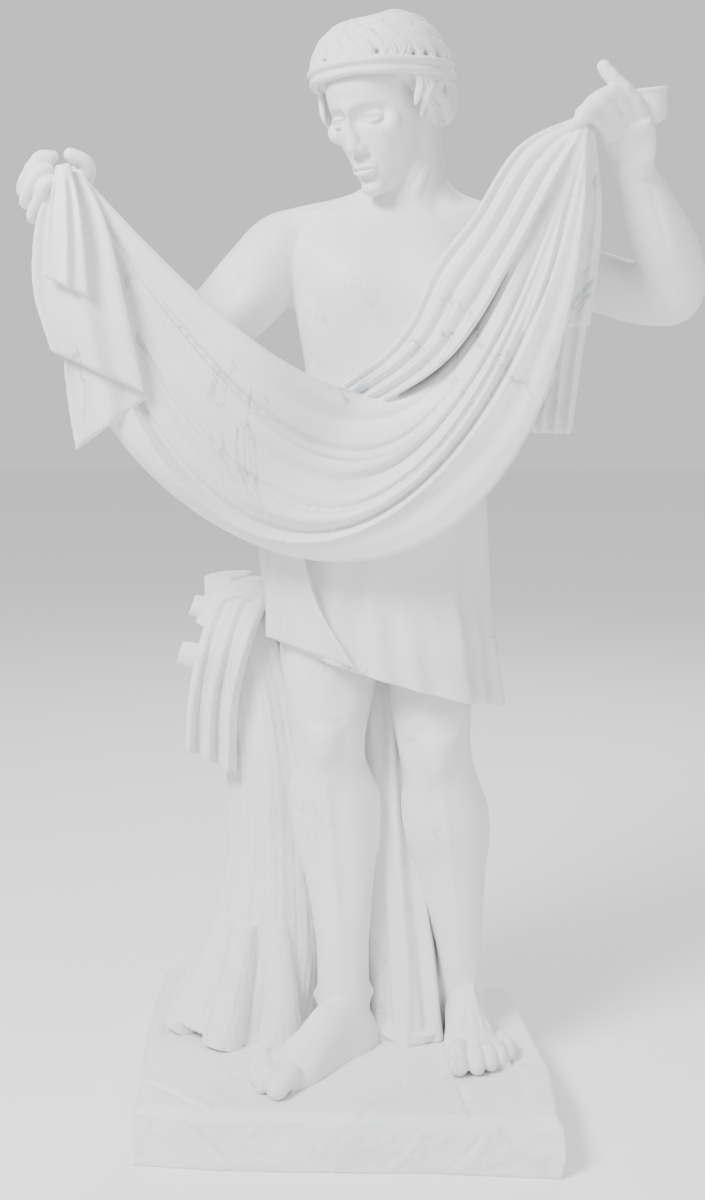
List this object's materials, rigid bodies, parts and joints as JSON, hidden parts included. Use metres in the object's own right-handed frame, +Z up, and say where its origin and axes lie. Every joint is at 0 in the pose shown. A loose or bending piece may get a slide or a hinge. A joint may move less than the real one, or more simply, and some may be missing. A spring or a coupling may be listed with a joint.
{
  "type": "classical marble statue",
  "caption": "Standing marble youth in a short skirt, holding a hanging cloth between both raised hands, with a tree-trunk support on a rough rock base.",
  "frame": {"origin": "middle of the rock base's underside", "axes": "+Z up, the figure faces -Y, +X on the figure's left-hand side"},
  "size_m": [1.0339, 0.6188, 1.783],
  "materials": {
    "marble": "satin"
  },
  "bodies": {
    "root": {"statue": "marble"}
  },
  "joints": []
}
